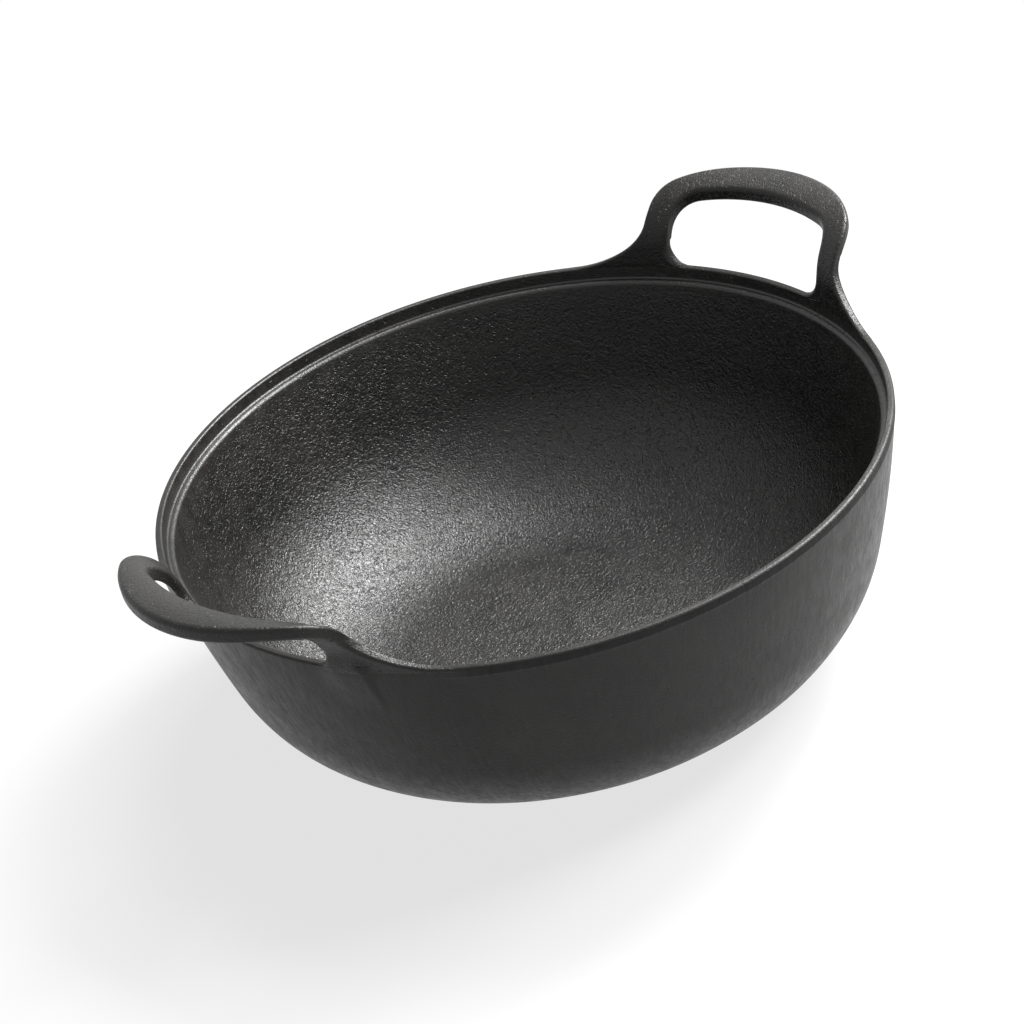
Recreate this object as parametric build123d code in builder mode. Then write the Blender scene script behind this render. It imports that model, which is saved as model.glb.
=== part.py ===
from build123d import *
import os
from math import asin, cos, degrees, radians, sin, sqrt, tan

os.makedirs("parts", exist_ok=True)

# A cast-iron kadai: one casting with a flat base, a curved wall, a stepped rim that seats a lid,
# and two loop handles that rise from the rim and curl outwards.
# Origin: centre of the flat base. +Z up, the two handles on +X and -X. Millimetres.

# Bowl
rim_radius = 130.0  # outside of the lip at its top
bowl_height = 88.6  # flat base to lip top
wall_thickness = 4.8  # wall and floor alike
wall_lean = 9.25  # degrees from vertical, at the lip
wall_radius = 438.0  # slow bulge of the wall
shoulder_radius = 54.5  # turn from the wall into the base

# Rim
rim_band = 10.0  # height of the rim, lip top down to the plain wall
lip_width = 2.8  # radial, at the lip top
lip_draft = 4.0  # degrees, inner face of the lip
seat_depth = 5.1  # lid seat below the lip top
edge_chamfer = 0.8  # edges of the lip, the seat and the handles

# Handle, seen from the side
leg_lean = 12.0  # degrees from vertical, inner face of the leg
leg_back_lean = 20.0  # degrees from vertical, outer face of the leg
grip_slope = 2.7  # degrees above horizontal
leg_straight = 6.6  # inner face, lip top to the start of the bend
bend_radius = 28.6  # inner face
back_bend_radius = 22.0  # outer face
foot_blend_radius = 26.0  # lip into leg, inner and outer faces
grip_thickness = 5.7

# Handle, seen from above and from the front
handle_projection = 29.1  # outside of the lip to the grip's outer edge
handle_half_width = 45.3
grip_corner_radius = 17.5
flare_run = 25.0  # leg side into the lip, along the lip
flare_rise = 15.5  # leg side into the lip, up the leg
flare_pull_share = 0.4  # part of its two tangents that the flare follows
flare_margin = 4.0  # lip that stays with the handle past the flare
root_depth = 3.0  # lip section carried by the handle, below the lip top

# Finger gap
grip_width = 13.5  # finger gap to the grip's outer edge, on the middle plane
leg_width = 8.3  # finger gap to the side of the handle
gap_corner_radius = 12.0
gap_foot_radius = 5.0  # lower corners, beside the legs
corner_clearance = 0.4  # height from the end of a foot or a flare to the start of a round corner

# Fairing behind each leg
fairing_rise = 8.0  # above the lip top
fairing_drop = 17.0  # below the lip top
fairing_bulge = 0.5

overrun = 5.0  # every cut passes its faces by this much

# Section of the bowl: centres of the wall arc and of the shoulder arc, which touch at one point
wall_centre = (
    rim_radius - wall_radius * cos(radians(wall_lean)),
    bowl_height + wall_radius * sin(radians(wall_lean)),
)
shoulder_lean = degrees(asin((wall_centre[1] - shoulder_radius) / (wall_radius - shoulder_radius)))
base_radius = wall_centre[0] + (wall_radius - shoulder_radius) * cos(radians(shoulder_lean))
shoulder_centre = (base_radius, shoulder_radius)

lip_inner_radius = rim_radius - lip_width
lip_middle = rim_radius - lip_width / 2
seat_radius = lip_inner_radius - seat_depth * tan(radians(lip_draft))
seat_height = bowl_height - seat_depth
rim_foot = bowl_height - rim_band
wall_foot = shoulder_radius * (1 - sin(radians(shoulder_lean)))
root_foot = bowl_height - root_depth


def wall_point(drop):
    """Point of the wall's outer arc at a drop below the lip top."""
    height = bowl_height - drop
    return (wall_centre[0] + sqrt(wall_radius**2 - (wall_centre[1] - height) ** 2), height)


def bowl_outline(inset):
    """Closed half section of the bowl, moved inwards by the inset."""
    with BuildLine() as outline:
        floor = Line((0, inset), (base_radius, inset))
        turn_radius = shoulder_radius - inset
        EllipticalCenterArc(shoulder_centre, turn_radius, turn_radius, -90, arc_size=90 - shoulder_lean)
        side = CenterArc(wall_centre, wall_radius - inset, -shoulder_lean, shoulder_lean - wall_lean)
        Polyline(side @ 1, (0, (side @ 1).Y), floor @ 0)
    return outline.line


def crowned_outline(reach, half_width, side_end, corner_radius):
    """Outline from above: sides up to the corners, round corners and a crown out to the reach."""
    run = reach - side_end
    slack = run**2 - corner_radius**2 + (half_width - corner_radius) ** 2
    crown_radius = slack / (2 * (run - corner_radius))
    with BuildSketch() as outline:
        with Locations((reach - crown_radius, 0)):
            Rectangle(crown_radius, 2 * half_width, align=(Align.MIN, Align.CENTER))
            Circle(crown_radius, mode=Mode.INTERSECT)
        fillet(outline.vertices().group_by(Axis.X)[-1], corner_radius)
    return outline.sketch


with BuildSketch() as bowl_section:
    make_face(bowl_outline(0).edges())
    make_face(bowl_outline(wall_thickness).edges(), mode=Mode.SUBTRACT)
    with BuildLine():
        Polyline(
            (0, seat_height),
            (seat_radius, seat_height),
            (lip_inner_radius, bowl_height),
            (lip_inner_radius, bowl_height + overrun),
            (0, bowl_height + overrun),
            close=True,
        )
    make_face(mode=Mode.SUBTRACT)
    seat_edge = bowl_section.vertices().group_by(Axis.Y)[-2].sort_by(Axis.X)[0]
    lip_edges = bowl_section.vertices().group_by(Axis.Y)[-1]
    chamfer([seat_edge, *lip_edges], edge_chamfer)

from_corner = (Align.MIN, Align.MIN)

# Flat floor
with BuildPart() as base:
    with BuildSketch(Plane.XZ):
        add(bowl_section.sketch)
        Rectangle(base_radius, bowl_height, align=from_corner, mode=Mode.INTERSECT)
    revolve(axis=Axis.Z)

# Shoulder, from the floor up to where the wall begins
with BuildPart() as shoulder:
    with BuildSketch(Plane.XZ):
        add(bowl_section.sketch)
        Rectangle(base_radius, bowl_height, align=from_corner, mode=Mode.SUBTRACT)
        Rectangle(rim_radius, wall_foot, align=from_corner, mode=Mode.INTERSECT)
    revolve(axis=Axis.Z)

# Wall, up to the foot of the rim
with BuildPart() as wall:
    with BuildSketch(Plane.XZ):
        add(bowl_section.sketch)
        Rectangle(rim_radius, wall_foot, align=from_corner, mode=Mode.SUBTRACT)
        Rectangle(rim_radius, rim_foot, align=from_corner, mode=Mode.INTERSECT)
    revolve(axis=Axis.Z)

# Rim: lid seat and lip, notched where the handles carry the lip
root_angle = degrees(asin((handle_half_width + flare_run + flare_margin) / rim_radius))
with BuildPart() as rim:
    with BuildSketch(Plane.XZ):
        add(bowl_section.sketch)
        Rectangle(rim_radius, rim_foot, align=from_corner, mode=Mode.SUBTRACT)
    revolve(axis=Axis.Z)
    for turn in (0, 180):
        with BuildSketch(Plane.XZ.rotated((0, 0, turn - root_angle))):
            with Locations((0, root_foot)):
                Rectangle(rim_radius + overrun, root_depth + overrun, align=from_corner)
        revolve(axis=Axis.Z, revolution_arc=2 * root_angle, mode=Mode.SUBTRACT)

# Inner face of the handle's curled plate, as the corners that its blends round off
inner_root = (lip_inner_radius - root_depth * tan(radians(lip_draft)), root_foot)
inner_foot = (lip_inner_radius, bowl_height)
bend_run = bend_radius * tan(radians(90 - leg_lean - grip_slope) / 2)
leg_run = leg_straight + bend_run
inner_knee = (
    lip_inner_radius + leg_run * sin(radians(leg_lean)),
    bowl_height + leg_run * cos(radians(leg_lean)),
)


def grip_point(x, depth):
    """Point at a distance from the bowl axis and a depth below the grip's upper face."""
    rise = (x - inner_knee[0]) * tan(radians(grip_slope)) - depth / cos(radians(grip_slope))
    return (x, inner_knee[1] + rise)


# Outer and inner edge of the grip, from the bowl axis, and half the finger gap
handle_reach = rim_radius + handle_projection
gap_reach = handle_reach - grip_width
gap_half_width = handle_half_width - leg_width

# How far the plate and the cuts that shape the handle reach
cut_end = max(handle_reach, inner_knee[0] + bend_run) + overrun
cut_top = grip_point(cut_end, 0)[1] + overrun
cut_foot = root_foot - overrun

# Outer face, from the outside of the lip to the underside of the grip
outer_root = wall_point(root_depth)
outer_foot = (rim_radius, bowl_height)
grip_clearance = grip_point(rim_radius, grip_thickness)[1] - bowl_height
back_run = grip_clearance / (1 / tan(radians(leg_back_lean)) - tan(radians(grip_slope)))
outer_knee = grip_point(rim_radius + back_run, grip_thickness)

# The bend between them: where it starts on the leg, and its centre
back_bend_run = back_bend_radius * tan(radians(90 - leg_back_lean - grip_slope) / 2)
back_bend_start = (
    outer_knee[0] - back_bend_run * sin(radians(leg_back_lean)),
    outer_knee[1] - back_bend_run * cos(radians(leg_back_lean)),
)
back_bend_centre = (
    back_bend_start[0] + back_bend_radius * cos(radians(leg_back_lean)),
    back_bend_start[1] - back_bend_radius * sin(radians(leg_back_lean)),
)


def corner_start(half_width, rise):
    """Where a round corner starts, seen from above: on the outer face, just above a rise."""
    height = bowl_height + rise + corner_clearance
    radius = rim_radius + (rise + corner_clearance) * tan(radians(leg_back_lean))
    if height > back_bend_start[1]:
        drop = height - back_bend_centre[1]
        radius = back_bend_centre[0] - sqrt(back_bend_radius**2 - drop**2)
    return sqrt(radius**2 - half_width**2)


grip_corner_start = corner_start(handle_half_width, flare_rise)
gap_corner_start = corner_start(gap_half_width, gap_foot_radius)

with BuildPart() as finger_gap:
    with BuildSketch(Plane.XY.offset(bowl_height)):
        add(crowned_outline(gap_reach, gap_half_width, gap_corner_start, gap_corner_radius))
    extrude(amount=cut_top - bowl_height)
    with BuildSketch(Plane.YZ) as gap_front:
        with Locations((0, bowl_height)):
            Rectangle(2 * gap_half_width, cut_top - bowl_height, align=(Align.CENTER, Align.MIN))
        fillet(gap_front.vertices().group_by(Axis.Z)[0], gap_foot_radius)
    extrude(amount=cut_end, mode=Mode.INTERSECT)

# A fairing's section: the leg's outer face, the lip, the wall and a slack curve that closes them
fairing_top = (rim_radius + fairing_rise * tan(radians(leg_back_lean)), bowl_height + fairing_rise)
fairing_foot = wall_point(fairing_drop)
fairing_height = fairing_rise + fairing_drop + 2 * overrun
with BuildPart() as fairings:
    with BuildSketch(Plane.XZ.rotated((0, 0, -root_angle))):
        with BuildLine():
            Polyline(fairing_top, (lip_middle, bowl_height), (lip_middle, root_foot), outer_root)
            ThreePointArc(outer_root, wall_point((root_depth + fairing_drop) / 2), fairing_foot)
            SagittaArc(fairing_top, fairing_foot, fairing_bulge)
        make_face()
    revolve(axis=Axis.Z, revolution_arc=2 * root_angle)
    with BuildSketch(Plane.YZ):
        with Locations((0, bowl_height + (fairing_rise - fairing_drop) / 2)):
            Rectangle(2 * handle_half_width, fairing_height)
            Rectangle(2 * (gap_half_width + edge_chamfer), fairing_height, mode=Mode.SUBTRACT)
    extrude(amount=cut_end, mode=Mode.INTERSECT)

# Loop handle: a plate revolved with the rim, cut to its two outlines and opened by the finger gap
with BuildPart() as handle_right:
    with BuildSketch(Plane.XZ.rotated((0, 0, -root_angle))) as side:
        with BuildLine():
            Polyline(
                inner_root,
                inner_foot,
                inner_knee,
                grip_point(cut_end, 0),
                grip_point(cut_end, grip_thickness),
                outer_knee,
                outer_foot,
                outer_root,
                close=True,
            )
        make_face()
        for corner, radius in (
            (inner_foot, foot_blend_radius),
            (inner_knee, bend_radius),
            (outer_knee, back_bend_radius),
            (outer_foot, foot_blend_radius),
        ):
            fillet(side.vertices().sort_by_distance(corner)[0], radius)
    revolve(axis=Axis.Z, revolution_arc=2 * root_angle)
    # From the front: legs that flare into the lip
    with BuildSketch(Plane.YZ):
        with BuildLine():
            flare_top = (handle_half_width, bowl_height + flare_rise)
            flare_end = (handle_half_width + flare_run, bowl_height)
            Polyline((0, cut_foot), (0, cut_top), (handle_half_width, cut_top), flare_top)
            Bezier(
                flare_top,
                (handle_half_width, bowl_height + flare_rise * (1 - flare_pull_share)),
                (handle_half_width + flare_run * (1 - flare_pull_share), bowl_height),
                flare_end,
            )
            Polyline(flare_end, (rim_radius, bowl_height), (rim_radius, cut_foot), (0, cut_foot))
        make_face()
        mirror(about=Plane.YZ)
    extrude(amount=cut_end, mode=Mode.INTERSECT)
    # From above: a crowned outer edge with round corners
    with BuildSketch():
        add(crowned_outline(handle_reach, handle_half_width, grip_corner_start, grip_corner_radius))
        Rectangle(grip_corner_start, 2 * rim_radius, align=(Align.MIN, Align.CENTER))
    extrude(amount=cut_top, mode=Mode.INTERSECT)
    add(finger_gap.part, mode=Mode.SUBTRACT)
    convex_edges = handle_right.edges().filter_by(lambda edge: not edge.is_interior)
    lip_and_above = convex_edges.filter_by_position(Axis.Z, root_foot + root_depth / 2, cut_top)
    chamfer(lip_and_above.filter_by(GeomType.LINE, reverse=True), edge_chamfer)
    add(fairings.part)

with BuildPart() as handle_left:
    add(handle_right.part.rotate(Axis.Z, 180))

for label, piece in (
    ("base", base),
    ("shoulder", shoulder),
    ("wall", wall),
    ("rim", rim),
    ("handle_right", handle_right),
    ("handle_left", handle_left),
):
    piece.part.label = label
    export_step(piece.part, f"parts/{label}.step")
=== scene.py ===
"""A cast-iron kadai: one dark casting with a stepped rim and two curled loop handles."""

import logging
from dataclasses import dataclass, replace
from enum import Enum
from typing import Sequence, Union

import bpy
import numpy as np
from mathutils import Matrix


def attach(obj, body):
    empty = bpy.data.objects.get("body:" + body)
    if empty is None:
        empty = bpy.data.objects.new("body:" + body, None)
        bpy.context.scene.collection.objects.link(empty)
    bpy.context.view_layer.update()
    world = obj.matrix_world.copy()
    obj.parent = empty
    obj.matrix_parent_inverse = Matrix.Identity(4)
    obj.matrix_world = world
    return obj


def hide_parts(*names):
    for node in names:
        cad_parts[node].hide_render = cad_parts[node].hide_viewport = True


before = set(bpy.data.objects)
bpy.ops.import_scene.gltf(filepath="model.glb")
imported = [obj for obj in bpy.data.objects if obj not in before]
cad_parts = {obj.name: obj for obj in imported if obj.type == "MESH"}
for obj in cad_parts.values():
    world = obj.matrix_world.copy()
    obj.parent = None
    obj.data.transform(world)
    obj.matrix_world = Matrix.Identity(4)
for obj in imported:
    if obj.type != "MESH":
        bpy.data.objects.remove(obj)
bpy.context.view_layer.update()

LOG = logging.getLogger("kadai")
MM = 0.001
WHITE = (1.0, 1.0, 1.0, 1.0)
SEEN_RAYS = ("Is Camera Ray", "Is Glossy Ray", "Is Transmission Ray")

# Sockets of the Mix node that carry its share and its colours.
MIX_SHARE, MIX_LOW, MIX_HIGH, MIX_RESULT = 0, 6, 7, 2

Array = np.ndarray
Pair = tuple[float, float]


# Outlines

def smoothstep(low: float, high: float, x: Array) -> Array:
    """Rise from 0 to 1 as x goes from low to high, level at both ends: t times t times (3 - 2t)."""
    t = np.clip((np.asarray(x, dtype=float) - low) / (high - low), 0.0, 1.0)
    return t * t * (3.0 - 2.0 * t)


def arc_points(centre: Sequence[float], radius: float, start: float, end: float, count: int) -> Array:
    """Points of a circular arc.

    A point is the centre plus the radius times the cosine and sine of an even run of angles.

    Args:
        centre: Centre of the arc in its plane.
        radius: Radius of the arc.
        start: First angle, in degrees.
        end: Last angle, in degrees.
        count: Number of points, both ends included.

    Returns:
        The points, one row each.
    """
    turn = np.radians(np.linspace(start, end, count))
    return np.column_stack((centre[0] + radius * np.cos(turn), centre[1] + radius * np.sin(turn)))


def rounded_path(corners: Sequence[Sequence[float]], radii: Sequence[float], steps: int) -> Array:
    """A path through corners, some of them rounded.

    A rounded corner's arc starts and ends at a distance from the corner of the radius over the
    tangent of half the corner's angle. An arc's point is its centre plus the radius times a
    direction. For an arc that turns by an angle a, the direction at the share t is sin((1 - t) a)
    times the first direction plus sin(t a) times the last, over sin a, so the points are evenly
    spaced in angle.

    Args:
        corners: Corner points in order.
        radii: Radius at each corner, zero where the path keeps its corner.
        steps: Number of spans in each arc.

    Returns:
        The points of the path, one row each.
    """
    points = np.asarray(corners, dtype=float)
    pieces = [points[:1]]
    for before, corner, after, radius in zip(points, points[1:], points[2:], radii[1:-1]):
        if radius <= 0.0:
            pieces.append(corner[None])
            continue
        back = (before - corner) / np.linalg.norm(before - corner)
        ahead = (after - corner) / np.linalg.norm(after - corner)
        half = 0.5 * np.arccos(np.clip(back @ ahead, -1.0, 1.0))
        bisector = (back + ahead) / np.linalg.norm(back + ahead)
        centre = corner + bisector * radius / np.sin(half)
        first = (corner + back * radius / np.tan(half) - centre) / radius
        last = (corner + ahead * radius / np.tan(half) - centre) / radius
        span = np.pi - 2.0 * half
        share = np.linspace(0.0, 1.0, steps + 1)[:, None]
        arc = (np.sin((1.0 - share) * span) * first + np.sin(share * span) * last) / np.sin(span)
        pieces.append(centre + radius * arc)
    pieces.append(points[-1:])
    return np.vstack(pieces)


def arc_length(path: Array) -> Array:
    """Distance along a path at each of its points: the running sum of its spans' lengths."""
    return np.concatenate(([0.0], np.cumsum(np.linalg.norm(np.diff(path, axis=0), axis=1))))


def side_normals(path: Array) -> Array:
    """Unit normals of a path, to the right of its tangent: (x, y) turned to (y, -x).

    Args:
        path: Points in order, one row each.

    Returns:
        A unit vector for each point.
    """
    tangent = np.gradient(path, arc_length(path), axis=0)
    tangent /= np.linalg.norm(tangent, axis=1)[:, None]
    return np.column_stack((tangent[:, 1], -tangent[:, 0]))


# Meshes

def grid_faces(rows: int, columns: int, wrap_rows: bool, wrap_columns: bool) -> Array:
    """Quads between the neighbours of a grid of vertices.

    Args:
        rows: Number of rows of vertices.
        columns: Number of vertices in a row.
        wrap_rows: Whether the last row joins the first.
        wrap_columns: Whether a row's last vertex joins its first.

    Returns:
        Vertex indices, four in each row.
    """
    row = np.arange(rows if wrap_rows else rows - 1)[:, None]
    column = np.arange(columns if wrap_columns else columns - 1)[None, :]
    next_row, next_column = (row + 1) % rows, (column + 1) % columns
    quads = np.stack(
        (
            row * columns + column,
            next_row * columns + column,
            next_row * columns + next_column,
            row * columns + next_column,
        ),
        axis=-1,
    )
    return quads.reshape(-1, 4)


def turned_faces(rings: int, columns: int) -> list:
    """Faces of a closed skin turned about an axis: a grid, then a fan at each pole.

    The grid's vertices come first, ring by ring, then the first column's pole and the last's.

    Args:
        rings: Number of places round the axis.
        columns: Number of vertices in a ring's section, without the poles.

    Returns:
        Vertex indices of each face.
    """
    ring = np.arange(rings)
    after = (ring + 1) % rings
    first_pole, last_pole = np.full(rings, rings * columns), np.full(rings, rings * columns + 1)
    first = np.column_stack((first_pole, after * columns, ring * columns))
    last = np.column_stack((last_pole, (ring + 1) * columns - 1, (after + 1) * columns - 1))
    return grid_faces(rings, columns, True, False).tolist() + first.tolist() + last.tolist()


def make_piece(name: str, vertices: Array, faces: list, layers: dict[str, Array]) -> bpy.types.Object:
    """A smooth mesh object at the origin.

    Args:
        name: Name of the object.
        vertices: Points in millimetres, one row each.
        faces: Vertex indices of each face.
        layers: Numbers to keep at the vertices, by attribute name.

    Returns:
        The linked object.
    """
    mesh = bpy.data.meshes.new(name)
    mesh.from_pydata((vertices * MM).tolist(), [], faces)
    mesh.polygons.foreach_set("use_smooth", np.ones(len(faces), dtype=bool))
    for layer, values in layers.items():
        attribute = mesh.attributes.new(layer, "FLOAT", "POINT")
        attribute.data.foreach_set("value", np.ascontiguousarray(values, dtype=np.float32))
    mesh.validate()
    mesh.update()
    piece = bpy.data.objects.new(name, mesh)
    bpy.context.scene.collection.objects.link(piece)
    return piece


# Shader nodes

Number = Union[float, "Signal"]


class Signal:
    """A number that varies over a surface, with Python's arithmetic."""

    def __init__(self, graph: "Graph", socket: bpy.types.NodeSocket) -> None:
        """Keep the socket and the graph that new Math nodes go into."""
        self.graph = graph
        self.socket = socket

    def join(self, operation: str, *values: Number) -> "Signal":
        """A Math node on the values, in their order."""
        return self.graph.signal("ShaderNodeMath", {"operation": operation}, dict(enumerate(values)))

    def __add__(self, other: Number) -> "Signal":
        """Sum."""
        return self.join("ADD", self, other)

    __radd__ = __add__

    def __sub__(self, other: Number) -> "Signal":
        """Difference."""
        return self.join("SUBTRACT", self, other)

    def __rsub__(self, other: Number) -> "Signal":
        """Difference from a plain number."""
        return self.join("SUBTRACT", other, self)

    def __mul__(self, other: Number) -> "Signal":
        """Product."""
        return self.join("MULTIPLY", self, other)

    __rmul__ = __mul__

    def step(self, low: float, high: float) -> "Signal":
        """Smooth rise between two values.

        Args:
            low: Value where the result leaves 0.
            high: Value where it reaches 1.

        Returns:
            The share of the rise.
        """
        settings = {"interpolation_type": "SMOOTHSTEP"}
        inputs = {"Value": self, "From Min": low, "From Max": high}
        return self.graph.signal("ShaderNodeMapRange", settings, inputs)


class Graph:
    """The node tree of one material or of the world."""

    def __init__(self, owner: Union[bpy.types.Material, bpy.types.World]) -> None:
        """Start the owner's tree empty."""
        owner.use_nodes = True
        self.tree = owner.node_tree
        self.tree.nodes.clear()

    def node(self, kind: str, settings: dict, inputs: dict) -> bpy.types.Node:
        """Any node.

        Args:
            kind: Node type.
            settings: Properties of the node, set first.
            inputs: Values, sockets or signals for its inputs, by name or index.

        Returns:
            The new node.
        """
        made = self.tree.nodes.new(kind)
        for key, value in settings.items():
            setattr(made, key, value)
        for key, value in inputs.items():
            if isinstance(value, Signal):
                self.tree.links.new(value.socket, made.inputs[key])
            elif isinstance(value, bpy.types.NodeSocket):
                self.tree.links.new(value, made.inputs[key])
            else:
                made.inputs[key].default_value = value
        return made

    def signal(self, kind: str, settings: dict, inputs: dict, output: Union[int, str] = 0) -> Signal:
        """One output of a new node, as a signal."""
        return Signal(self, self.node(kind, settings, inputs).outputs[output])

    def layer(self, name: str) -> Signal:
        """A number kept at the mesh's vertices."""
        return self.signal("ShaderNodeAttribute", {"attribute_name": name}, {}, "Fac")

    def seen(self) -> Signal:
        """Whether a ray is the camera's own, or one by way of gloss or glass.

        Returns:
            The maximum of the three rays' signals, 1 or 0.
        """
        path = self.node("ShaderNodeLightPath", {}, {})
        camera, glossy, clear = [Signal(self, path.outputs[name]) for name in SEEN_RAYS]
        return camera.join("MAXIMUM", camera.join("MAXIMUM", camera, glossy), clear)

    def place(self, stretch: tuple[float, float, float] = (1.0, 1.0, 1.0)) -> bpy.types.NodeSocket:
        """Object coordinates, stretched along each axis."""
        where = self.node("ShaderNodeTexCoord", {}, {}).outputs["Object"]
        return self.node("ShaderNodeMapping", {}, {"Vector": where, "Scale": stretch}).outputs["Vector"]

    def noise(
        self, where: bpy.types.NodeSocket, size_mm: float, detail: float = 3.0, twist: float = 0.0
    ) -> Signal:
        """Noise from 0 to 1.

        Args:
            where: Coordinates, in metres.
            size_mm: About the size of a blob.
            detail: Number of finer layers.
            twist: How far the blobs are pulled out of round.

        Returns:
            The noise.
        """
        inputs = {"Vector": where, "Scale": 1.0 / (size_mm * MM), "Detail": detail, "Distortion": twist}
        return self.signal("ShaderNodeTexNoise", {}, inputs, "Fac")

    def blend(self, share: Number, low: Sequence[float], high: Sequence[float]) -> bpy.types.NodeSocket:
        """A colour between two, by a share from 0 to 1."""
        inputs = {MIX_SHARE: share, MIX_LOW: (*low, 1.0), MIX_HIGH: (*high, 1.0)}
        return self.node("ShaderNodeMix", {"data_type": "RGBA"}, inputs).outputs[MIX_RESULT]


# Finish

@dataclass(frozen=True)
class SeasonedIron:
    """Oiled cast iron: near black, pebbled inside the bowl and fine-grained outside.

    Sizes and depths are in millimetres. A window is where a noise goes from 0 to 1.
    """

    name: str = "seasoned_iron"
    dark: tuple[float, float, float] = (0.005, 0.0048, 0.0045)
    pale: tuple[float, float, float] = (0.017, 0.0158, 0.0145)
    specular: float = 0.28
    roughness_out: float = 0.41
    roughness_in: float = 0.33
    grain_roughness: float = 0.20
    blotch_roughness: float = 0.22
    pit_roughness: float = 0.15
    streak_roughness: float = 0.30
    band_roughness: float = 0.25
    pebble_mm: float = 1.35
    pebble_detail: float = 2.0
    pebble_twist: float = 1.3
    pebble_depth_mm: float = 0.46
    band_pebbles: float = 0.6
    grain_mm: float = 0.8
    grain_depth_mm: float = 0.10
    grain_window: Pair = (0.3, 0.8)
    grain_shade: float = 0.3
    pit_mm: float = 1.3
    pit_detail: float = 1.0
    pit_twist: float = 0.6
    pit_depth_mm: float = 0.20
    pit_window: Pair = (0.60, 0.74)
    # Painted shade: how far the colour is darkened in the pits.
    pit_painted_shade: float = 0.8
    fewer_pits_out: float = 0.085
    streak_mm: float = 1.6
    streak_squeeze: float = 0.08
    streak_depth_mm: float = 0.07
    cloud_mm: float = 38.0
    cloud_detail: float = 2.0
    cloud_window: Pair = (0.35, 0.68)
    cloud_shade: float = 0.4
    blotch_mm: float = 7.0
    blotch_detail: float = 3.0
    blotch_twist: float = 0.5
    blotch_window: Pair = (0.35, 0.7)
    blotch_shade: float = 0.3

    def material(self) -> bpy.types.Material:
        """Build the node material.

        The height is the sum of pebbles inside and on the band under the lip, upright streaks
        outside and grain everywhere, less the pits. The tone from dark to pale is a sum of clouds,
        grain and blotches, with painted shade that darkens it in the pits and holds the band under
        the lip at the dark colour.

        Returns:
            The material.
        """
        material = bpy.data.materials.new(self.name)
        graph = Graph(material)
        plain, upright = graph.place(), graph.place((1.0, 1.0, self.streak_squeeze))
        inside, band = graph.layer("inside"), graph.layer("band")
        outside = 1.0 - inside
        pebbles = graph.noise(plain, self.pebble_mm, self.pebble_detail, self.pebble_twist)
        grain = graph.noise(plain, self.grain_mm)
        streaks = graph.noise(upright, self.streak_mm)
        pits = graph.noise(plain, self.pit_mm, self.pit_detail, self.pit_twist)
        pits = (pits - outside * self.fewer_pits_out).step(*self.pit_window)
        clouds = graph.noise(plain, self.cloud_mm, self.cloud_detail)
        blotches = graph.noise(plain, self.blotch_mm, self.blotch_detail, self.blotch_twist)

        height = (inside + band * self.band_pebbles) * (pebbles * self.pebble_depth_mm)
        height = height + grain * self.grain_depth_mm
        height = height + outside * (streaks * self.streak_depth_mm) - pits * self.pit_depth_mm
        bump = graph.node("ShaderNodeBump", {}, {"Strength": 1.0, "Distance": MM, "Height": height})

        shade = clouds.step(*self.cloud_window) * self.cloud_shade
        shade = shade + grain.step(*self.grain_window) * self.grain_shade
        shade = shade + blotches.step(*self.blotch_window) * self.blotch_shade
        # Painted shade: darker colour in the pits, and the band under the lip held at the dark colour.
        shade = shade * (1.0 - pits * self.pit_painted_shade) * (1.0 - band)

        roughness = inside * (self.roughness_in - self.roughness_out) + self.roughness_out
        roughness = roughness + (grain - 0.5) * self.grain_roughness
        roughness = roughness + (blotches - 0.5) * self.blotch_roughness
        roughness = roughness + pits * self.pit_roughness
        roughness = roughness + outside * ((streaks - 0.5) * self.streak_roughness)
        roughness = roughness + band * self.band_roughness

        inputs = {
            "Base Color": graph.blend(shade, self.dark, self.pale),
            "Roughness": roughness,
            "Specular IOR Level": self.specular,
            "Normal": bump.outputs["Normal"],
        }
        shader = graph.node("ShaderNodeBsdfPrincipled", {}, inputs)
        graph.node("ShaderNodeOutputMaterial", {}, {"Surface": shader.outputs["BSDF"]})
        return material


# Shapes

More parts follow.
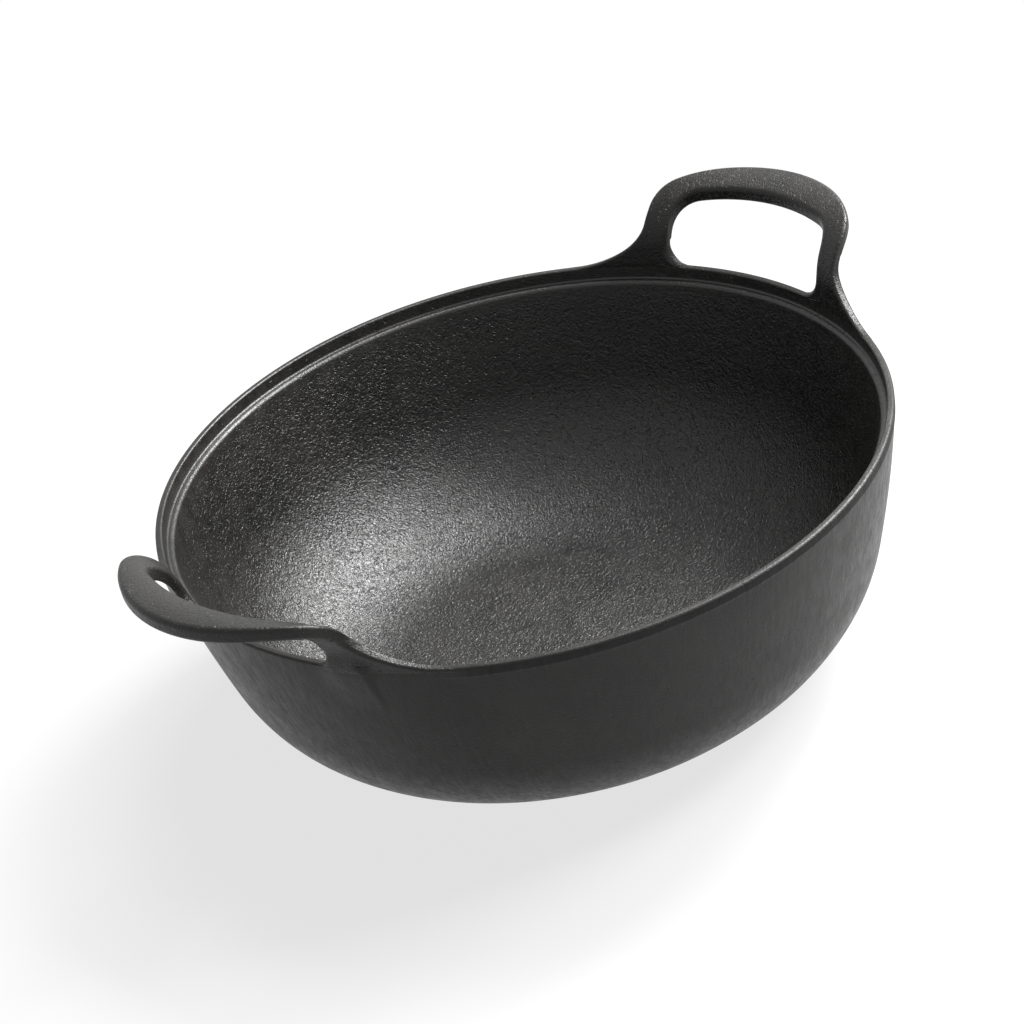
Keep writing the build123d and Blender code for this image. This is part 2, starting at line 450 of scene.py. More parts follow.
@dataclass
class Section:
    """Half section of the bowl, the rim and the foot of a handle, in millimetres."""

    rim_radius: float = 130.0
    height: float = 88.6
    thickness: float = 4.8
    wall_lean: float = 9.25
    wall_radius: float = 438.0
    shoulder_radius: float = 54.5
    floor_radius: float = 60.0
    floor_level: float = 4.8
    lip_width: float = 2.8
    lip_draft: float = 4.0
    seat_depth: float = 5.1
    band_foot: float = 3.3
    band_proud: float = 0.14
    band_top_inset: float = 0.25
    band_lead: float = 0.9
    band_lead_rounding: float = 1.2
    band_foot_rounding: float = 1.0
    lip_outer_rounding: float = 0.9
    lip_inner_rounding: float = 0.7
    seat_corner_rounding: float = 0.8
    seat_edge_rounding: float = 1.6
    rim_start_out: float = 2.0
    rim_start_in: float = 3.0
    flat_points: int = 12
    shoulder_points: int = 40
    wall_points_out: int = 24
    wall_points_in: int = 26
    corner_steps: int = 8

    def __post_init__(self) -> None:
        """Work out the two arc centres, which touch at one point, and the seat."""
        lean = np.radians(self.wall_lean)
        self.wall_centre = (
            self.rim_radius - self.wall_radius * np.cos(lean),
            self.height + self.wall_radius * np.sin(lean),
        )
        gap = self.wall_radius - self.shoulder_radius
        self.shoulder_lean = np.degrees(np.arcsin((self.wall_centre[1] - self.shoulder_radius) / gap))
        self.base_radius = self.wall_centre[0] + gap * np.cos(np.radians(self.shoulder_lean))
        self.lip_inner_radius = self.rim_radius - self.lip_width
        self.seat_height = self.height - self.seat_depth
        self.seat_radius = self.lip_inner_radius - self.seat_depth * np.tan(np.radians(self.lip_draft))

    def wall_at(self, height: Array, inset: float = 0.0) -> Array:
        """Radius of the wall's arc at a height, moved inwards by the inset."""
        rise = self.wall_centre[1] - np.asarray(height)
        return self.wall_centre[0] + np.sqrt((self.wall_radius - inset) ** 2 - rise**2)

    def shoulder(self, inner: bool, count: int) -> Array:
        """Points of a shoulder's arc, from the floor up.

        The arc is level where it leaves the floor and touches the wall's arc. With the wall's
        radius W, its centre at a distance a across and b above the floor from the arc's foot, the
        arc's radius is (W squared - a squared - b squared) / (2 (W - b)).

        Args:
            inner: Whether it is the inside's arc.
            count: Number of points.

        Returns:
            The points, one row each.
        """
        foot = (self.floor_radius, self.floor_level) if inner else (self.base_radius, 0.0)
        reach = self.wall_radius - (self.thickness if inner else 0.0)
        across, above = foot[0] - self.wall_centre[0], self.wall_centre[1] - foot[1]
        radius = (reach**2 - across**2 - above**2) / (2.0 * (reach - above))
        lean = np.degrees(np.arctan2(above - radius, across))
        return arc_points((foot[0], foot[1] + radius), radius, -90.0, -lean, count)

    def wall(self, inner: bool, top: float, count: int) -> Array:
        """Points of the wall's arc, from the shoulder up, at evenly spaced heights.

        Args:
            inner: Whether it is the inside's arc.
            top: Height of the last point.
            count: Number of points, without the shoulder's last.

        Returns:
            The points, one row each.
        """
        first = self.shoulder(inner, 2)[-1, 1]
        heights = np.linspace(first, top, count + 1)[1:]
        return np.column_stack((self.wall_at(heights, self.thickness if inner else 0.0), heights))

    def flat(self, start: float, end: float, level: float) -> Array:
        """Points at one level, evenly spaced from one radius to another."""
        return np.column_stack((np.linspace(start, end, self.flat_points), np.full(self.flat_points, level)))

    def rim(self, start: Array) -> Array:
        """Points of the rim, from the outside wall over the band, the lip and the seat.

        Args:
            start: Last point of the outside wall.

        Returns:
            The points, one row each, down to the first point of the inside wall.
        """
        foot = self.height - self.band_foot
        lead = foot - self.band_lead
        end = self.seat_height - self.rim_start_in
        corners_and_radii = (
            (start, 0.0),
            ((float(self.wall_at(lead)), lead), self.band_lead_rounding),
            ((float(self.wall_at(foot)) + self.band_proud, foot), self.band_foot_rounding),
            ((self.rim_radius - self.band_top_inset, self.height), self.lip_outer_rounding),
            ((self.lip_inner_radius, self.height), self.lip_inner_rounding),
            ((self.seat_radius, self.seat_height), self.seat_corner_rounding),
            (
                (float(self.wall_at(self.seat_height, self.thickness)), self.seat_height),
                self.seat_edge_rounding,
            ),
            ((float(self.wall_at(end, self.thickness)), end), 0.0),
        )
        corners, radii = zip(*corners_and_radii)
        return rounded_path(corners, radii, self.corner_steps)

    def outline(self) -> tuple[Array, Array]:
        """The whole half section, from the middle of the underside round the lip to the floor.

        Returns:
            The points, one row each, and for each point 0 outside and 1 inside the bowl.
        """
        outside = np.vstack(
            (
                self.flat(0.0, self.base_radius, 0.0)[:-1],
                self.shoulder(False, self.shoulder_points),
                self.wall(False, self.height - self.band_foot - self.rim_start_out, self.wall_points_out),
            )
        )
        inside = np.vstack(
            (
                self.wall(True, self.seat_height - self.rim_start_in, self.wall_points_in)[::-1],
                self.shoulder(True, self.shoulder_points)[::-1],
                self.flat(self.floor_radius, 0.0, self.floor_level)[1:],
            )
        )
        path = np.vstack((outside[:-1], self.rim(outside[-1]), inside[1:]))
        past_middle = path[:, 0] < self.lip_inner_radius + 0.5 * self.lip_width
        past_outside = np.arange(len(path)) >= len(outside)
        return path, (past_middle & past_outside).astype(float)


@dataclass
class Fairing:
    """The slight swelling behind each leg of a handle, which fades out down the wall."""

    inner: float = 38.0
    outer: float = 45.3
    softness: float = 2.2
    inner_softness: float = 11.0
    rise: float = 8.0
    drop: float = 21.0
    proud: float = 1.45

    def swell(self, across: Array, drop: Array) -> Array:
        """How far the surface stands proud.

        The product of a plateau over the leg's width and a hump over the height, each a pair of
        smooth steps.

        Args:
            across: Distance from the plane through both handles.
            drop: Distance below the lip's top.

        Returns:
            The proud distance, in millimetres.
        """
        side = np.abs(across)
        plateau = smoothstep(self.inner - self.inner_softness, self.inner, side)
        plateau = plateau * (1.0 - smoothstep(self.outer, self.outer + self.softness, side))
        hump = smoothstep(-self.rise, 0.0, drop) * (1.0 - smoothstep(0.0, self.drop, drop))
        return self.proud * plateau * hump


@dataclass
class Bowl:
    """The bowl with its rim: one skin turned about the upright axis.

    Lengths are in millimetres and bearings in degrees. A wave has its number of turns round the
    axis, its run along the section and its phase.
    """

    section: Section
    fairing: Fairing
    finish: bpy.types.Material
    inner_finish: bpy.types.Material
    leg_bearing: float = 18.8
    fine_reach: float = 3.6
    fine_step: float = 0.2
    fine_clearance: float = 4.0
    coarse_step: float = 1.0
    no_band: Pair = (66.0, 82.0)
    uneven: float = 0.10
    waves: tuple[tuple[float, float, float], ...] = ((3.0, 19.0, 0.0), (5.0, -13.0, 1.3), (11.0, 9.0, 0.6))
    calm_rim: Pair = (6.0, 26.0)
    calm_pole: Pair = (2.0, 12.0)
    calm_foot: Pair = (1.0, 12.0)
    swell_facing: float = 0.6
    rim_pebbles: float = 0.3
    rim_fade: Pair = (6.0, 12.0)
    band_fade: Pair = (1.4, -0.4)
    lip_fade: Pair = (0.1, 1.0)

    def angles(self) -> Array:
        """Angles round the axis, closer together behind the handles' legs.

        Returns:
            The angles in radians, in rising order.
        """
        legs = [side + turn for side in (0, 180) for turn in (-self.leg_bearing, self.leg_bearing)]
        fine = [np.arange(leg - self.fine_reach, leg + self.fine_reach, self.fine_step) for leg in legs]
        coarse = np.arange(-180.0, 180.0, self.coarse_step)
        for part in fine:
            away = np.abs((coarse - part.mean() + 180.0) % 360.0 - 180.0)
            coarse = coarse[away > self.fine_clearance]
        return np.radians(np.sort(np.concatenate([coarse, *fine]) % 360.0))

    def unevenness(self, turn: Array, along: Array, inside: Array, radius: Array, height: Array) -> Array:
        """How far the faces swell and sink.

        The mean of sines of the angle and of the distance along the section, faded out by smooth
        steps at the rim, at the poles and at the foot outside.

        Args:
            turn: Angles round the axis, as a column.
            along: Distance along the section.
            inside: 1 inside the bowl, 0 outside.
            radius: Distance from the axis.
            height: Height above the base.

        Returns:
            The distances along the outward normal, in millimetres.
        """
        wave = sum(np.sin(turns * turn + along / run + phase) for turns, run, phase in self.waves)
        calm = smoothstep(*self.calm_rim, self.section.height - height) * smoothstep(*self.calm_pole, radius)
        calm = calm * np.where(inside > 0.5, 1.0, smoothstep(*self.calm_foot, height))
        return self.uneven * wave / len(self.waves) * calm

    def layers(self, inside: Array, drop: Array, under_handle: Array) -> dict[str, Array]:
        """Numbers for the finish, with one more for each pole.

        Args:
            inside: 1 inside the bowl, 0 outside, along the section without its poles.
            drop: Distance below the lip's top, one row for each angle.
            under_handle: 1 at a handle and 0 away from it, as a column.

        Returns:
            How pebbled the face is, and where the band under the lip is, which the finish roughens and keeps
            dark as painted shade.
        """
        pebbled = inside * (self.rim_pebbles + (1.0 - self.rim_pebbles) * smoothstep(*self.rim_fade, drop))
        foot = self.section.band_foot
        band = smoothstep(foot + self.band_fade[0], foot + self.band_fade[1], drop)
        band = band * smoothstep(*self.lip_fade, drop) * (1.0 - inside)
        band = band * (1.0 - under_handle)
        return {"inside": np.append(pebbled.ravel(), [0.0, 1.0]), "band": np.append(band.ravel(), [0.0, 0.0])}

    def build(self) -> bpy.types.Object:
        """Turn the section about the axis.

        A point is (r cos a, r sin a, z) for a point (r, z) of the section and an angle a. The
        outside wall gains the fairings, and both faces of the wall gain a slight unevenness along
        the normal. At the handles the band under the lip gives way to the plain section.

        Returns:
            The bowl's object.
        """
        path, inside = self.section.outline()
        plain, _ = replace(self.section, band_proud=0.0, band_top_inset=0.0).outline()
        turn = self.angles()[:, None]
        under_handle = 1.0 - smoothstep(*self.no_band, np.abs(self.section.rim_radius * np.sin(turn)))
        outward = side_normals(path)
        radius, height = [a + (b - a) * under_handle for a, b in zip(path.T, plain.T)]
        drop = self.section.height - height
        shift = self.unevenness(turn, arc_length(path), inside, radius, height)
        swell = self.fairing.swell(radius * np.sin(turn), drop) * (1.0 - inside)
        swell = swell * smoothstep(0.0, self.swell_facing, outward[:, 0])
        radius = radius + shift * outward[:, 0] + swell
        height = height + shift * outward[:, 1]
        points = np.stack((radius * np.cos(turn), radius * np.sin(turn), height), axis=-1)
        rings, columns = len(points), len(path) - 2
        vertices = np.vstack((points[:, 1:-1].reshape(-1, 3), points[0, 0], points[0, -1]))
        layers = self.layers(inside[1:-1], drop[:, 1:-1], under_handle)
        piece = make_piece("bowl_casting", vertices, turned_faces(rings, columns), layers)
        piece.data.materials.append(self.finish)
        piece.data.materials.append(self.inner_finish)
        faces_inside = np.tile(inside[1:-2] * inside[2:-1], rings)
        slots = np.concatenate((faces_inside, np.zeros(rings), np.ones(rings)))
        piece.data.polygons.foreach_set("material_index", slots.astype(np.int32))
        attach(piece, "root")
        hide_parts("base", "shoulder", "wall", "rim")
        return piece


class Side(Enum):
    """The two ends of the bowl where a handle stands."""

    RIGHT = ("handle_right", 1.0)
    LEFT = ("handle_left", -1.0)

    def __init__(self, node: str, sign: float) -> None:
        """Keep the name of the handle's CAD node and the sign of its x."""
        self.node = node
        self.sign = sign


@dataclass
class Handle:
    """A loop handle: a plate curled outwards, with flared legs and a finger gap.

    Lengths are in millimetres and leans in degrees. Where there are four numbers, they are for the
    gap's edge on the inner face, the outside's edge on it, the outside's edge on the outer face
    and the gap's edge on that, or for the straight run after each.
    """

    section: Section
    fairing: Fairing
    finish: bpy.types.Material
    leg_lean: float = 12.0
    back_lean: float = 20.0
    slope: float = 2.7
    leg_straight: float = 6.6
    bend_radius: float = 28.6
    back_bend_radius: float = 22.0
    foot_blend: float = 26.0
    thickness: float = 5.7
    root_depth: float = 8.0
    reach: float = 159.05
    spare_reach: float = 6.0
    half_width: float = 45.3
    corner_radius: float = 17.5
    corner_clearance: float = 0.4
    flare_run: float = 25.0
    flare_rise: float = 15.5
    flare_pull: float = 0.48
    gap_reach: float = 144.6
    gap_half_width: float = 35.7
    gap_corner_radius: float = 12.0
    gap_foot_radius: float = 8.0
    gap_way_up: tuple[Pair, ...] = ((3.0, 1.6), (3.0, 0.5), (1.4, 0.12))
    sink: float = 3.0
    lead: float = 5.0
    lead_drop: float = 0.9
    foot_radii: tuple[float, ...] = (0.8, 0.8, 1.2, 1.2)
    leg_gains: tuple[float, ...] = (1.0, 0.4, 0.4, 0.3)
    grip_gains: tuple[float, ...] = (-0.2, 0.7, 0.0, -0.3)
    leg_heights: Pair = (0.5, 7.0)
    grip_heights: Pair = (16.0, 27.0)
    radius_limit: float = 0.46
    skin_proud: float = 0.03
    foot_tuck: float = 0.16
    foot_fade: Pair = (-3.2, 0.3)
    pebbled: float = 0.55
    blend_steps: int = 48
    lead_steps: int = 6
    flare_steps: int = 56
    leg_steps: int = 16
    corner_steps: int = 28
    crown_steps: int = 44
    quarter_points: int = 8
    run_points: tuple[int, ...] = (14, 5, 14, 5)

    def __post_init__(self) -> None:
        """Draw the plate's two faces from the side, from below the lip's top to the grip's end."""
        part = self.section
        lean, slope = np.radians(self.leg_lean), np.radians(self.slope)
        run = self.leg_straight + self.bend_radius * np.tan((np.pi / 2 - lean - slope) / 2)
        inner_foot = np.array((part.lip_inner_radius, part.height))
        knee = inner_foot + run * np.array((np.sin(lean), np.cos(lean)))
        end = self.reach + self.spare_reach

        def grip(x: float, depth: float) -> Pair:
            """Point of the grip at a radius and a depth below its upper face."""
            return x, knee[1] + (x - knee[0]) * np.tan(slope) - depth / np.cos(slope)

        low = part.height - self.root_depth
        below = part.lip_inner_radius - self.root_depth * np.tan(np.radians(part.lip_draft))
        self.inner = rounded_path(
            [(below, low), inner_foot, knee, grip(end, 0.0)],
            [0.0, self.foot_blend, self.bend_radius, 0.0],
            self.blend_steps,
        )
        back = np.radians(self.back_lean)
        clearance = grip(part.rim_radius, self.thickness)[1] - part.height
        back_run = clearance / (1.0 / np.tan(back) - np.tan(slope))
        outer_knee = grip(part.rim_radius + back_run, self.thickness)
        outer_foot = (part.rim_radius, part.height)
        self.outer = rounded_path(
            [(float(part.wall_at(low)), low), outer_foot, outer_knee, grip(end, self.thickness)],
            [0.0, self.foot_blend, self.back_bend_radius, 0.0],
            self.blend_steps,
        )

    def plan(self, reach: float, half_width: float, rise: float, corner: float) -> tuple[Array, Array]:
        """Corner and crown of an outline seen from above.

        The corner starts on the outer face, just above the rise. The crown's arc, centred on the
        middle plane, passes through the reach and is tangent to the corner's arc.

        Args:
            reach: Distance of the crown from the bowl's axis.
            half_width: Distance of the straight side from the middle plane.
            rise: Height above the lip's top of the foot or the flare below the corner.
            corner: Radius of the corner.

        Returns:
            The corner's points and the crown's points, up to the middle plane.
        """
        level = self.section.height + rise + self.corner_clearance
        start = np.sqrt(np.interp(level, self.outer[:, 1], self.outer[:, 0]) ** 2 - half_width**2)
        run, side = reach - start, half_width - corner
        crown = (run**2 - corner**2 + side**2) / (2.0 * (run - corner))
        centre = reach - crown
        meet = np.degrees(np.arctan2(side, start - centre))
        corner_arc = arc_points((start, side), corner, 90.0, meet, self.corner_steps + 1)
        crown_arc = arc_points((centre, 0.0), crown, meet, 0.0, self.crown_steps + 1)
        return corner_arc, crown_arc

    def contour(self, face: Array, foot: Array, plan: tuple[Array, Array]) -> Array:
        """Half an outline on one face of the plate.

        The foot is drawn from the front, as distance across and height. The corner and the crown
        are drawn from above. Both become distance across and distance along the face.

        Args:
            face: The face's path from the side, radius and height.
            foot: Points of the foot, from the lip up.
            plan: Points of the corner and of the crown.

        Returns:
            Rows of distance across and distance along the face, from the lip to the middle.
        """
        along = arc_length(face)
        corner, crown = plan
        leg_top = np.interp(np.hypot(*corner.T)[0], face[:, 0], face[:, 1])
        leg_height = np.linspace(foot[-1, 1], leg_top, self.leg_steps + 1)[1:-1]
        leg = np.column_stack((np.full(len(leg_height), foot[-1, 0]), leg_height))
        front = np.vstack((foot, leg))
        low = np.column_stack((front[:, 0], np.interp(front[:, 1], face[:, 1], along)))
        high = np.vstack((corner, crown[1:]))
        high = np.column_stack((high[:, 1], np.interp(np.hypot(*high.T), face[:, 0], along)))
        return np.vstack((low, high))

    def surface(self, face: Array, place: Array, lift: Union[float, Array]) -> Array:
        """Points in space of places on a face.

        A place (across, along) gives radius and height from the face's path, and then x is the
        root of radius squared less across squared, which is kept at 1 or more.

        Args:
            face: The face's path from the side.
            place: Distance across and along, in the last axis.
            lift: Distance to move outwards from the bowl's axis.

        Returns:
            Points with x, y and z in the last axis.
        """
        along = arc_length(face)
        radius = np.interp(place[..., 1], along, face[:, 0]) + lift
        height = np.interp(place[..., 1], along, face[:, 1])
        across = place[..., 0]
        return np.stack((np.sqrt(np.maximum(radius**2 - across**2, 1.0)), across, height), axis=-1)

    def flare(self) -> Array:
        """Where a leg's side runs out into the lip, from under the lip's top to the leg.

        A short parabola that rises to the lip's top, then a cubic Bezier curve that is level at
        the lip and upright at the leg.

        Returns:
            Rows of distance across and height.
        """
        top = self.section.height
        lead = np.linspace(1.0, 0.0, self.lead_steps + 1)[:-1, None]
        t = np.linspace(0.0, 1.0, self.flare_steps + 1)[:, None]
        end = np.array((self.half_width + self.flare_run, top))
        leg = np.array((self.half_width, top + self.flare_rise))
        pull_end = end - (self.flare_run * self.flare_pull, 0.0)
        pull_leg = leg - (0.0, self.flare_rise * self.flare_pull)
        curve = (1 - t) ** 3 * end + 3 * (1 - t) ** 2 * t * pull_end
        curve = curve + 3 * (1 - t) * t**2 * pull_leg + t**3 * leg
        return np.vstack((end + np.hstack((self.lead * lead, -self.lead_drop * lead**2)), curve))

    def gap_foot(self) -> Array:
        """The finger gap's lower corner, after a stretch that runs unseen inside the lip.

        The points on the way up from there are given by how far they are inwards of the corner
        arc's start and below the lip's top.

        Returns:
            Rows of distance across and height, as many as the flare has.
        """
        top = self.section.height
        far = self.half_width + self.flare_run + self.lead
        inner = self.gap_half_width - self.gap_foot_radius
        way_up = (inner, top) - np.array(self.gap_way_up)
        bottom_count = self.flare_steps // 2 + self.lead_steps
        bottom = np.linspace((far, top - self.sink), (way_up[0, 0], top - self.sink), bottom_count)
        arc_count = self.flare_steps + self.lead_steps + 1 - bottom_count - len(way_up)
        centre = (inner, top + self.gap_foot_radius)
        return np.vstack((bottom, way_up, arc_points(centre, self.gap_foot_radius, -90.0, 0.0, arc_count)))

    def outlines(self, face: Array) -> tuple[Array, Array, Array, Array]:
        """Both outlines on one face, from one foot to the other, and the ways into the plate.

        The way into the plate is the outline's normal, reversed for the outside.

        Args:
            face: The face's path from the side.

        Returns:
            The gap's outline and its normals, then the outside's outline and its normals.
        """
        gap = self.plan(self.gap_reach, self.gap_half_width, self.gap_foot_radius, self.gap_corner_radius)
        outside = self.plan(self.reach, self.half_width, self.flare_rise, self.corner_radius)
        found = []
        for foot, plan, turn in ((self.gap_foot(), gap, 1.0), (self.flare(), outside, -1.0)):
            half = self.contour(face, foot, plan)
            whole = np.vstack((half, (half * (-1.0, 1.0))[-2::-1]))
            found += [whole, turn * side_normals(whole)]
        return tuple(found)

    def joined(self, quarters: list[Array]) -> Array:
        """The four quarter circles of each section, with straight runs between them.

        Args:
            quarters: Values along each quarter circle, one row for each station.

        Returns:
            The values all the way round, one row for each station.
        """
        runs = []
        for quarter, after, count in zip(quarters, quarters[1:] + quarters[:1], self.run_points):
            share = np.linspace(0.0, 1.0, count)[1:-1].reshape((1, -1) + (1,) * (quarter.ndim - 2))
            runs += [quarter, quarter[:, -1:] + (after[:, :1] - quarter[:, -1:]) * share]
        return np.concatenate(runs, axis=1)

    def sections(self) -> tuple[Array, Array, Array]:
        """The rounded section at each station of the loop.

        A section runs round four quarter circles: at the gap and at the outside, on the inner face
        and on the outer face. A point at a distance d from an outline lies at the outline plus d
        times its normal on both faces, and at a share of the depth between the two.

        Returns:
            The places on the inner face and on the outer face, and the shares of the depth.
        """
        on_faces = [self.outlines(face) for face in (self.inner, self.outer)]
        (gap_in, _, out_in, _), (gap_out, _, out_out, _) = on_faces
        gap_edges = self.surface(self.inner, gap_in, 0.0), self.surface(self.outer, gap_out, 0.0)
        out_edges = self.surface(self.inner, out_in, 0.0), self.surface(self.outer, out_out, 0.0)
        width = np.linalg.norm(gap_edges[0] - out_edges[0], axis=1)
        gap_depth, out_depth = [np.linalg.norm(a - b, axis=1) for a, b in (gap_edges, out_edges)]
        limit = self.radius_limit * np.minimum(width, np.minimum(gap_depth, out_depth))
        above = out_edges[0][:, 2] - self.section.height
        on_leg, on_grip = smoothstep(*self.leg_heights, above), smoothstep(*self.grip_heights, above)
        radii = [
            np.minimum(foot + leg * on_leg + grip * on_grip, limit)[:, None]
            for foot, leg, grip in zip(self.foot_radii, self.leg_gains, self.grip_gains)
        ]
        turn = np.radians(np.linspace(0.0, 90.0, self.quarter_points))[None, :]
        near, far = 1.0 - np.cos(turn), 1.0 - np.sin(turn)
        gap_depth, out_depth = gap_depth[:, None], out_depth[:, None]
        quarters = (
            (0, radii[0] * near, radii[0] * far / gap_depth),
            (2, radii[1] * far, radii[1] * near / out_depth),
            (2, radii[2] * near, 1.0 - radii[2] * far / out_depth),
            (0, radii[3] * far, 1.0 - radii[3] * near / gap_depth),
        )
        place_in, place_out = [
            self.joined(
                [on[at][:, None] + on[at + 1][:, None] * inset[..., None] for at, inset, _ in quarters]
            )
            for on in on_faces
        ]
        return place_in, place_out, self.joined([share for _, _, share in quarters])

    def build(self, side: Side) -> bpy.types.Object:
        """Carry the rounded section along the loop.

        A point is the place on the inner face plus its share of the way to the outer face. The
        skin stands a little proud of the plate above the lip, and below the lip's top it is tucked
        inside the bowl's skin.

        Args:
            side: The end of the bowl where the handle stands.

        Returns:
            The handle's object.
        """
        place_in, place_out, share = self.sections()
        lip_along = np.interp(self.section.height, self.inner[:, 1], arc_length(self.inner))
        at_foot = 1.0 - smoothstep(*self.foot_fade, place_in[..., 1] - lip_along)
        proud = self.skin_proud - self.foot_tuck * at_foot
        behind = self.surface(self.outer, place_out, 0.0)
        swell = self.fairing.swell(behind[..., 1], self.section.height - behind[..., 2])
        front = self.surface(self.inner, place_in, -proud)
        back = self.surface(self.outer, place_out, proud + swell)
        points = (front + (back - front) * share[..., None]) * np.array((side.sign, side.sign, 1.0))
        rows, columns = points.shape[:2]
        first_end = np.arange(columns)
        ends = [first_end.tolist(), (first_end[::-1] + (rows - 1) * columns).tolist()]
        faces = grid_faces(rows, columns, False, True).tolist() + ends
        layers = {"inside": np.full(rows * columns, self.pebbled)}
        piece = make_piece(f"{side.node}_casting", points.reshape(-1, 3), faces, layers)
        piece.data.materials.append(self.finish)
        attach(piece, "root")
        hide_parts(side.node)
        return piece


# Studio

def facing(back: Array, place: Array) -> Matrix:
    """A matrix that puts an object at a place, with its +Z axis pointing back.

    Args:
        back: Unit vector of the object's +Z axis.
        place: Origin of the object.

    Returns:
        The matrix, with its +X axis level.
    """
    side = np.cross((0.0, 0.0, 1.0), back)
    side /= np.linalg.norm(side)
    up = np.cross(back, side)
    rows = np.vstack((np.column_stack((side, up, back, place)), (0.0, 0.0, 0.0, 1.0)))
    return Matrix(rows.tolist())


@dataclass(frozen=True)
class Softbox:
    """An area lamp aimed at the pan, placed by its bearing from the camera's side.

    Angles are in degrees, lengths in metres and the power in watts.
    """

    name: str
    bearing: float
    elevation: float
    distance: float
    width: float
    depth: float
    power: float
    aim_height: float = 0.05

    def build(self, front: float) -> bpy.types.Object:
        """Place the lamp.

        Args:
            front: Bearing of the camera about the upright axis, in degrees.

        Returns:
            The lamp's object.
        """
        lamp = bpy.data.lights.new(self.name, "AREA")
        lamp.shape = "RECTANGLE"
        lamp.size, lamp.size_y = self.width, self.depth
        lamp.energy = self.power
        turn, rise = np.radians(front + self.bearing), np.radians(self.elevation)
        away = np.array((np.cos(turn) * np.cos(rise), np.sin(turn) * np.cos(rise), np.sin(rise)))
        piece = bpy.data.objects.new(self.name, lamp)
        piece.matrix_world = facing(away, away * self.distance + np.array((0.0, 0.0, self.aim_height)))
        bpy.context.scene.collection.objects.link(piece)
        return piece


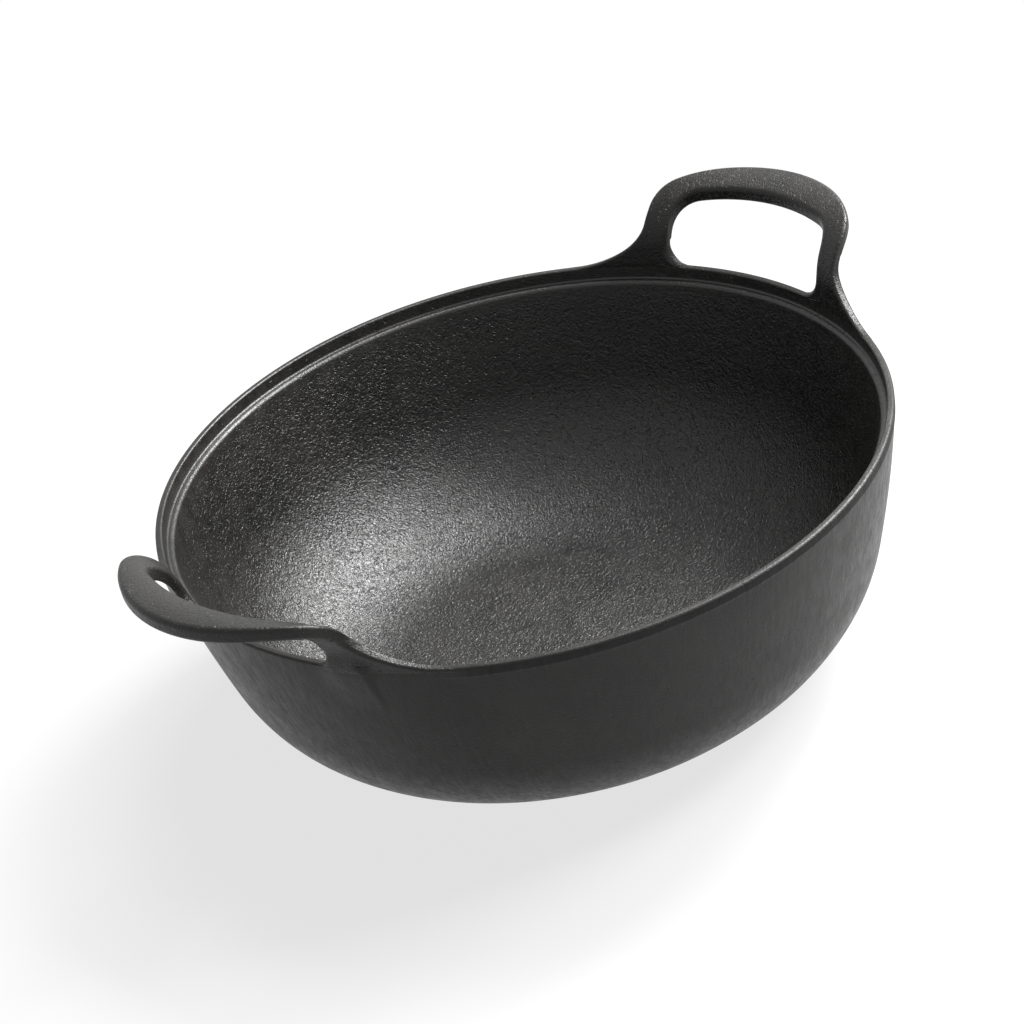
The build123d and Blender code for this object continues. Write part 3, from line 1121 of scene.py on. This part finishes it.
@dataclass
class Studio:
    """The camera of the photograph, soft lamps, a white surround and a pale floor.

    Lengths are in metres, apart from the lens, and angles in degrees.
    """

    lens: float = 95.6
    distance: float = 0.9405
    elevation: float = 29.8016
    handle_bearing: float = 40.37
    roll: float = -13.5493
    aim_right: float = -0.00826169
    aim_up: float = -0.02331755
    rim_height: float = 0.0886
    clip: Pair = (0.01, 100.0)
    world_light: float = 0.01
    floor_half: float = 4.0
    floor_grey: tuple[float, float, float, float] = (0.8, 0.8, 0.8, 1.0)
    near_white: float = 0.75
    fade_start: float = 0.12
    fade_end: float = 0.4
    lamps: tuple[Softbox, ...] = (
        Softbox("key", 127.0, 45.0, 1.3, 0.45, 0.45, 32.0),
        Softbox("top", 143.0, 63.0, 1.3, 0.5, 0.5, 11.0),
        Softbox("side", 95.0, 40.0, 1.3, 0.5, 0.5, 20.0),
    )

    def camera(self) -> bpy.types.Object:
        """Place the camera.

        It stands at the fitted distance and elevation from the middle of the lip's top, turned by
        the small aims to the right and up, and rolled about its own axis.

        Returns:
            The camera's object.
        """
        rise, turn = np.radians(self.elevation), np.radians(self.handle_bearing)
        cos, sin = np.cos(turn), np.sin(turn)
        spin = np.array(((cos, sin, 0.0), (-sin, cos, 0.0), (0.0, 0.0, 1.0)))
        place = np.array((0.0, -np.cos(rise), np.sin(rise))) * self.distance
        ahead = -place / self.distance
        right = np.array((1.0, 0.0, 0.0))
        up = np.cross(right, ahead)
        ahead = ahead + self.aim_right * right + self.aim_up * up
        ahead /= np.linalg.norm(ahead)
        right = np.cross(ahead, up)
        right /= np.linalg.norm(right)
        up = np.cross(right, ahead)
        roll = np.radians(self.roll)
        level = np.cos(roll) * right + np.sin(roll) * up
        tilt = np.cos(roll) * up - np.sin(roll) * right
        stand = spin @ place + (0.0, 0.0, self.rim_height)
        axes = np.column_stack((spin @ level, spin @ tilt, spin @ -ahead, stand))
        data = bpy.data.cameras.new("camera")
        data.lens = self.lens
        data.clip_start, data.clip_end = self.clip
        piece = bpy.data.objects.new("camera", data)
        piece.matrix_world = Matrix(np.vstack((axes, (0.0, 0.0, 0.0, 1.0))).tolist())
        bpy.context.scene.collection.objects.link(piece)
        bpy.context.scene.camera = piece
        return piece

    def surround(self) -> None:
        """Make the world: white to the camera and in reflections, hardly any light otherwise."""
        world = bpy.data.worlds.new("surround")
        bpy.context.scene.world = world
        graph = Graph(world)
        inputs = {"Value": graph.seen(), "To Min": self.world_light, "To Max": 1.0}
        strength = graph.signal("ShaderNodeMapRange", {}, inputs)
        background = graph.node("ShaderNodeBackground", {}, {"Color": WHITE, "Strength": strength})
        graph.node("ShaderNodeOutputWorld", {}, {"Surface": background.outputs[0]})

    def floor(self) -> bpy.types.Object:
        """Lay the floor: matt and pale, and mixed with white where it is seen.

        The share of white grows with the distance from the pan, up to 1, so the floor near the pan
        keeps its shadow.

        Returns:
            The floor's object.
        """
        mesh = bpy.data.meshes.new("floor")
        half = self.floor_half
        corners = [(-half, -half, 0), (half, -half, 0), (half, half, 0), (-half, half, 0)]
        mesh.from_pydata(corners, [], [(0, 1, 2, 3)])
        piece = bpy.data.objects.new("floor", mesh)
        bpy.context.scene.collection.objects.link(piece)
        material = bpy.data.materials.new("floor")
        graph = Graph(material)
        seen = graph.seen()
        where = graph.node("ShaderNodeTexCoord", {}, {}).outputs["Object"]
        away = graph.signal("ShaderNodeVectorMath", {"operation": "LENGTH"}, {0: where}, "Value")
        whiteness = self.near_white + away.step(self.fade_start, self.fade_end) * (1.0 - self.near_white)
        matt = graph.node("ShaderNodeBsdfDiffuse", {}, {"Color": self.floor_grey})
        white = graph.node("ShaderNodeEmission", {}, {"Strength": 1.0})
        parts = {0: seen * whiteness, 1: matt.outputs[0], 2: white.outputs[0]}
        mixed = graph.node("ShaderNodeMixShader", {}, parts)
        graph.node("ShaderNodeOutputMaterial", {}, {"Surface": mixed.outputs[0]})
        mesh.materials.append(material)
        return piece

    def build(self) -> None:
        """Set the whole studio up."""
        self.camera()
        self.surround()
        self.floor()
        for lamp in self.lamps:
            lamp.build(-90.0 - self.handle_bearing)
        bpy.context.scene.view_settings.view_transform = "Standard"


def main() -> None:
    """Build the pan and its studio, and report each piece."""
    logging.basicConfig(level=logging.INFO, format="%(name)s %(message)s")
    section, fairing = Section(), Fairing()
    iron = SeasonedIron().material()
    oiled = SeasonedIron(name="oiled_iron", specular=0.47).material()
    pieces = [Bowl(section, fairing, iron, oiled).build()]
    handle = Handle(section, fairing, iron)
    pieces += [handle.build(side) for side in Side]
    for piece in pieces:
        LOG.info("%s: %d vertices, %d faces", piece.name, len(piece.data.vertices), len(piece.data.polygons))
    Studio().build()
    bpy.context.view_layer.update()


if __name__ == "__main__":
    main()
